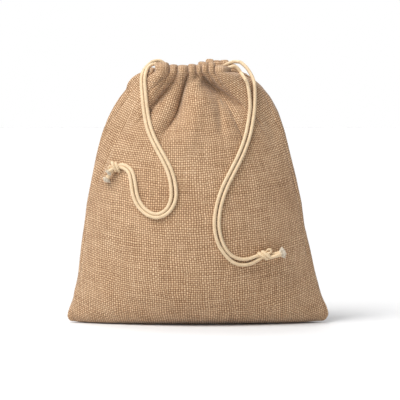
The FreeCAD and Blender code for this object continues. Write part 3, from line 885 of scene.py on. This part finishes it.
class Nodes:
    """Short calls for building a material's node tree."""

    def __init__(self, name):
        self.material = bpy.data.materials.new(name)
        self.material.use_nodes = True
        self.tree = self.material.node_tree
        self.shader = self.tree.nodes["Principled BSDF"]

    def add(self, kind, **values):
        node = self.tree.nodes.new(kind)
        for key, value in values.items():
            setattr(node, key, value)
        return node

    def link(self, source, target):
        self.tree.links.new(source, target)

    def set(self, **values):
        """Give the shader's inputs values: Base_Color sets "Base Color"."""
        for key, value in values.items():
            self.shader.inputs[key.replace("_", " ")].default_value = value

    def shade(self, colour, normal):
        self.link(colour, self.shader.inputs["Base Color"])
        self.link(normal, self.shader.inputs["Normal"])

    def split(self, vector):
        """The X and the Y of a vector."""
        node = self.add("ShaderNodeSeparateXYZ")
        self.link(vector, node.inputs[0])
        return node.outputs[0], node.outputs[1]

    def feed(self, socket, value):
        if isinstance(value, (int, float, tuple)):
            socket.default_value = value
        else:
            self.link(value, socket)

    def math(self, operation, first, second=0.0, third=0.0):
        node = self.add("ShaderNodeMath", operation=operation)
        for socket, value in zip(node.inputs, (first, second, third)):
            self.feed(socket, value)
        return node.outputs[0]

    def times(self, first, second):
        return self.math("MULTIPLY", first, second)

    def join(self, x, y, z=0.0):
        node = self.add("ShaderNodeCombineXYZ")
        for socket, value in zip(node.inputs, (x, y, z)):
            self.feed(socket, value)
        return node.outputs[0]

    def noise(self, vector, scale, detail):
        node = self.add("ShaderNodeTexNoise")
        self.feed(node.inputs["Vector"], vector)
        node.inputs["Scale"].default_value = scale
        node.inputs["Detail"].default_value = detail
        return node.outputs["Fac"]

    def ramp(self, factor, stops):
        node = self.add("ShaderNodeValToRGB")
        self.feed(node.inputs["Fac"], factor)
        elements = node.color_ramp.elements
        while len(elements) < len(stops):
            elements.new(0.5)
        for element, (position, colour) in zip(elements, stops):
            element.position = position
            element.color = (*colour, 1)
        return node.outputs["Color"]

    def mix(self, kind, factor, first, second):
        node = self.add("ShaderNodeMix", data_type="RGBA", blend_type=kind)
        self.feed(node.inputs[0], factor)
        for socket, value in ((node.inputs[6], first), (node.inputs[7], second)):
            self.feed(socket, (*value, 1) if isinstance(value, tuple) and len(value) == 3 else value)
        return node.outputs[2]

    def bump(self, height, strength, distance):
        node = self.add("ShaderNodeBump")
        node.inputs["Strength"].default_value = strength
        node.inputs["Distance"].default_value = distance
        self.link(height, node.inputs["Height"])
        return node.outputs["Normal"]


THREAD_WAVER = 2.2  # how far the threads wander, in threads


def jute_material():
    """Plain-weave jute: round threads over and under, uneven thickness and colour, with painted shade in the
    pits between them, painted highlight on their tops and painted shade on the weft where it lies on top.
    """
    n = Nodes("jute_weave")
    coordinate = n.add("ShaderNodeUVMap", uv_map="flat_cloth").outputs[0]
    x, y = n.split(coordinate)
    waver_u = n.times(n.noise(coordinate, 45.0, 2.0), THREAD_WAVER)
    waver_v = n.times(n.noise(n.join(y, x, 3.7), 45.0, 2.0), THREAD_WAVER)
    u = n.math("ADD", n.math("DIVIDE", x, WEAVE_PITCH), waver_u)
    v = n.math("ADD", n.math("DIVIDE", y, WEAVE_PITCH), waver_v)
    sin_u = n.math("SINE", n.times(u, math.pi))
    sin_v = n.math("SINE", n.times(v, math.pi))
    over = n.times(sin_u, sin_v)
    warp_number = n.math("FLOOR", u)
    weft_number = n.math("FLOOR", v)
    warp_place = n.join(n.times(warp_number, 7.31), n.times(v, 0.09))
    weft_place = n.join(n.times(u, 0.09), n.times(weft_number, 5.17), 4.0)
    warp_slub = n.noise(warp_place, 1.0, 2.0)
    weft_slub = n.noise(weft_place, 1.0, 2.0)
    warp_round = n.math("POWER", n.math("ABSOLUTE", sin_u), 0.5)
    weft_round = n.math("POWER", n.math("ABSOLUTE", sin_v), 0.5)
    warp_size = n.math("MULTIPLY_ADD", warp_slub, 0.6, 0.12)
    weft_size = n.math("MULTIPLY_ADD", weft_slub, 0.6, 0.12)
    warp_rise = n.math("ADD", n.times(over, 0.62), warp_size)
    weft_rise = n.math("SUBTRACT", weft_size, n.times(over, 0.55))
    warp_height = n.times(warp_round, warp_rise)
    weft_height = n.times(weft_round, weft_rise)
    height = n.math("MAXIMUM", warp_height, weft_height)
    # The colour follows each thread's height: painted shade in the pits between the threads, painted
    # highlight on their tops.
    warp_painted_light = n.ramp(height, [(0.15, (0.16, 0.075, 0.032)), (0.42, (0.42, 0.255, 0.14)),
                                 (0.7, (0.68, 0.465, 0.29)), (1.0, (0.90, 0.68, 0.46))])
    # The weft colours are a darker copy of the warp colours: painted shade on the crosswise threads, standing
    # in for the light reaching them less.
    weft_painted_shade = n.ramp(height, [(0.15, (0.14, 0.066, 0.028)), (0.42, (0.37, 0.22, 0.118)),
                                 (0.7, (0.58, 0.385, 0.23)), (1.0, (0.78, 0.565, 0.37))])
    on_top = n.math("MULTIPLY_ADD", over, 2.5, 0.5)
    clamp = n.add("ShaderNodeClamp")
    n.link(on_top, clamp.inputs[0])
    # Where the weft lies on top the colour takes its darker copy: painted shade.
    shade = n.mix("MIX", clamp.outputs[0], weft_painted_shade, warp_painted_light)
    tone = n.math("ADD", n.times(warp_slub, 0.5), n.times(weft_slub, 0.5))
    tint = n.ramp(tone, [(0.3, (0.86, 0.81, 0.76)), (0.5, (0.97, 0.95, 0.92)), (0.7, WHITE)])
    colour = n.mix("MULTIPLY", 1.0, shade, tint)
    patches = n.ramp(n.noise(coordinate, 25.0, 3.0), [(0.35, (0.92, 0.88, 0.84)), (0.65, WHITE)])
    colour = n.mix("MULTIPLY", 0.8, colour, patches)
    fibres = n.noise(n.join(n.times(u, 6.0), n.times(v, 6.0)), 1.0, 2.0)
    speck = n.ramp(fibres, [(0.35, (0.82, 0.80, 0.78)), (0.6, WHITE)])
    colour = n.mix("MULTIPLY", 0.7, colour, speck)
    n.set(Roughness=0.85, Specular_IOR_Level=0.25, Sheen_Weight=0.25, Sheen_Roughness=0.5)
    n.shade(colour, n.bump(height, 0.9, 0.5 * MM))
    return n.material


BRAID_PITCH = 1.5 * MM
BRAID_SLANT = 3.0  # crossings of the yarns in one way round the cord


def cord_material():
    """Smooth waxed cotton: fine yarns braided slantwise both ways round the cord, slightly uneven in tone,
    with painted shade in the grooves between the yarns and painted highlight on their crowns.
    """
    n = Nodes("waxed_cotton")
    coordinate = n.add("ShaderNodeUVMap", uv_map="along").outputs[0]
    length, around = n.split(coordinate)
    along_cord = n.math("DIVIDE", length, BRAID_PITCH)
    round_cord = n.times(around, BRAID_SLANT)
    slant = n.math("ADD", along_cord, round_cord)
    back = n.math("SUBTRACT", along_cord, round_cord)
    yarn = n.math("ABSOLUTE", n.math("SINE", n.times(slant, math.pi)))
    other = n.math("ABSOLUTE", n.math("SINE", n.times(back, math.pi)))
    braid = n.math("MAXIMUM", yarn, other)
    place = n.add("ShaderNodeTexCoord").outputs["Object"]
    tone = n.noise(place, 260.0, 3.0)
    fuzz = n.noise(place, 2200.0, 2.0)
    height = n.math("ADD", n.times(braid, 0.7), n.times(fuzz, 0.3))
    # The colour follows the braid's height: painted shade in the grooves between the yarns, painted highlight
    # on their crowns.
    shade = n.ramp(height, [(0.25, (0.46, 0.31, 0.165)), (0.6, (0.70, 0.52, 0.32)),
                            (0.95, (0.83, 0.66, 0.45))])
    patches = n.ramp(tone, [(0.3, (0.90, 0.87, 0.82)), (0.65, WHITE)])
    n.set(Roughness=0.5, Specular_IOR_Level=0.4, Sheen_Weight=0.2)
    n.shade(n.mix("MULTIPLY", 1.0, shade, patches), n.bump(height, 0.55, 0.25 * MM))
    return n.material


def thread_material():
    """Spun sewing thread: two plies, matt, with painted shade in the grooves between the plies."""
    n = Nodes("spun_thread")
    place = n.add("ShaderNodeTexCoord").outputs["Object"]
    wave = n.add("ShaderNodeTexWave", wave_type="BANDS", bands_direction="DIAGONAL")
    n.link(place, wave.inputs["Vector"])
    wave.inputs["Scale"].default_value = 420.0
    wave.inputs["Distortion"].default_value = 1.5
    ply = wave.outputs["Fac"]
    # Darker in the low bands between the plies: painted shade.
    colour = n.ramp(ply, [(0.1, (0.36, 0.23, 0.13)), (0.8, (0.60, 0.43, 0.28))])
    speck = n.ramp(n.noise(place, 900.0, 2.0), [(0.3, (0.86, 0.84, 0.8)), (0.7, WHITE)])
    n.set(Roughness=0.8)
    n.shade(n.mix("MULTIPLY", 1.0, colour, speck), n.bump(ply, 0.5, 0.2 * MM))
    return n.material


FIBRE_LENGTH = 6 * MM


def fibre_material():
    """Loose cut fibres: pale, with a slightly darker root."""
    n = Nodes("cut_fibres")
    coordinate = n.add("ShaderNodeUVMap", uv_map="along").outputs[0]
    length, _ = n.split(coordinate)
    share = n.math("DIVIDE", length, FIBRE_LENGTH)
    colour = n.ramp(share, [(0.0, (0.58, 0.45, 0.30)), (0.35, (0.70, 0.60, 0.46)), (1.0, (0.82, 0.74, 0.62))])
    n.set(Roughness=0.7, Sheen_Weight=0.4)
    place = n.add("ShaderNodeTexCoord").outputs["Object"]
    n.shade(colour, n.bump(n.noise(place, 3000.0, 1.0), 0.4, 0.1 * MM))
    return n.material


# --- the room

AMBIENT = 0.45  # strength of the light from all round
FLOOR_REACH = 6


def make_stage():
    """A pale floor, even light from all round, and white behind everything."""
    mesh = bpy.data.meshes.new("floor")
    corners = [(x * FLOOR_REACH, y * FLOOR_REACH, 0) for x, y in ((-1, -1), (1, -1), (1, 1), (-1, 1))]
    mesh.from_pydata(corners, [], [(0, 1, 2, 3)])
    floor = add_object("floor", mesh)
    n = Nodes("pale_floor")
    n.set(Base_Color=(0.76, 0.765, 0.775, 1), Roughness=1.0, Specular_IOR_Level=0.0)
    mesh.materials.append(n.material)
    world = bpy.data.worlds.new("studio")
    world.use_nodes = True
    tree = world.node_tree
    light = tree.nodes["Background"]
    light.inputs["Color"].default_value = (0.95, 0.97, 1.0, 1)
    light.inputs["Strength"].default_value = AMBIENT
    backdrop = tree.nodes.new("ShaderNodeBackground")
    backdrop.inputs["Color"].default_value = (1, 1, 1, 1)
    rays = tree.nodes.new("ShaderNodeLightPath")
    either = tree.nodes.new("ShaderNodeMixShader")
    sources = (rays.outputs["Is Camera Ray"], light.outputs[0], backdrop.outputs[0])
    for source, target in zip(sources, either.inputs):
        tree.links.new(source, target)
    tree.links.new(either.outputs[0], tree.nodes["World Output"].inputs["Surface"])
    bpy.context.scene.world = world
    bpy.context.scene.view_settings.view_transform = "Standard"


def area_light(name, place, target, size, power):
    data = bpy.data.lights.new(name, "AREA")
    data.shape = "DISK"
    data.size = size
    data.energy = power
    light = add_object(name, data)
    light.visible_camera = False
    light.location = place
    light.rotation_euler = (Vector(target) - Vector(place)).to_track_quat("-Z", "Y").to_euler()


def sun_light(name, direction, strength, softness, colour=(1, 1, 1)):
    data = bpy.data.lights.new(name, "SUN")
    data.energy = strength
    data.angle = math.radians(softness)
    data.color = colour
    light = add_object(name, data)
    light.rotation_euler = Vector(direction).to_track_quat("-Z", "Y").to_euler()


make_stage()
sun_light("key", (0.58, 0.38, -1.0), 2.45, 32, (1.0, 0.98, 0.95))
area_light("top", (-0.2, -0.32, 0.46), (0, -0.02, 0.235), 0.2, 0.6)
sun_light("back", (0.2, -0.45, -1.0), 0.9, 25, (1.0, 0.99, 0.97))
sun_light("fill", (0.5, 0.85, -0.28), 0.25, 60, (1.0, 0.97, 0.93))

jute = jute_material()
cotton = cord_material()
thread = thread_material()
fibre = fibre_material()
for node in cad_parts.values():
    node.data.materials.clear()
    node.data.materials.append(thread)

walls = {}
grids = {}
for wall_side in (FRONT, REAR):
    walls[wall_side], grids[wall_side] = make_wall(wall_side, jute)
bpy.context.view_layer.update()
cloth = Cloth(walls.values())
for cord_side in (LEFT, RIGHT):
    make_cord(cord_side, cloth, cotton, fibre)

for wall_side in (FRONT, REAR):
    piece = walls[wall_side]
    stitches = make_stitches(wall_side, grids[wall_side][:ROWS + 1], thread)
    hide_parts(f"{WALL[wall_side]}_panel", f"{WALL[wall_side]}_tunnel")
    for each in (piece, stitches):
        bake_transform(each)
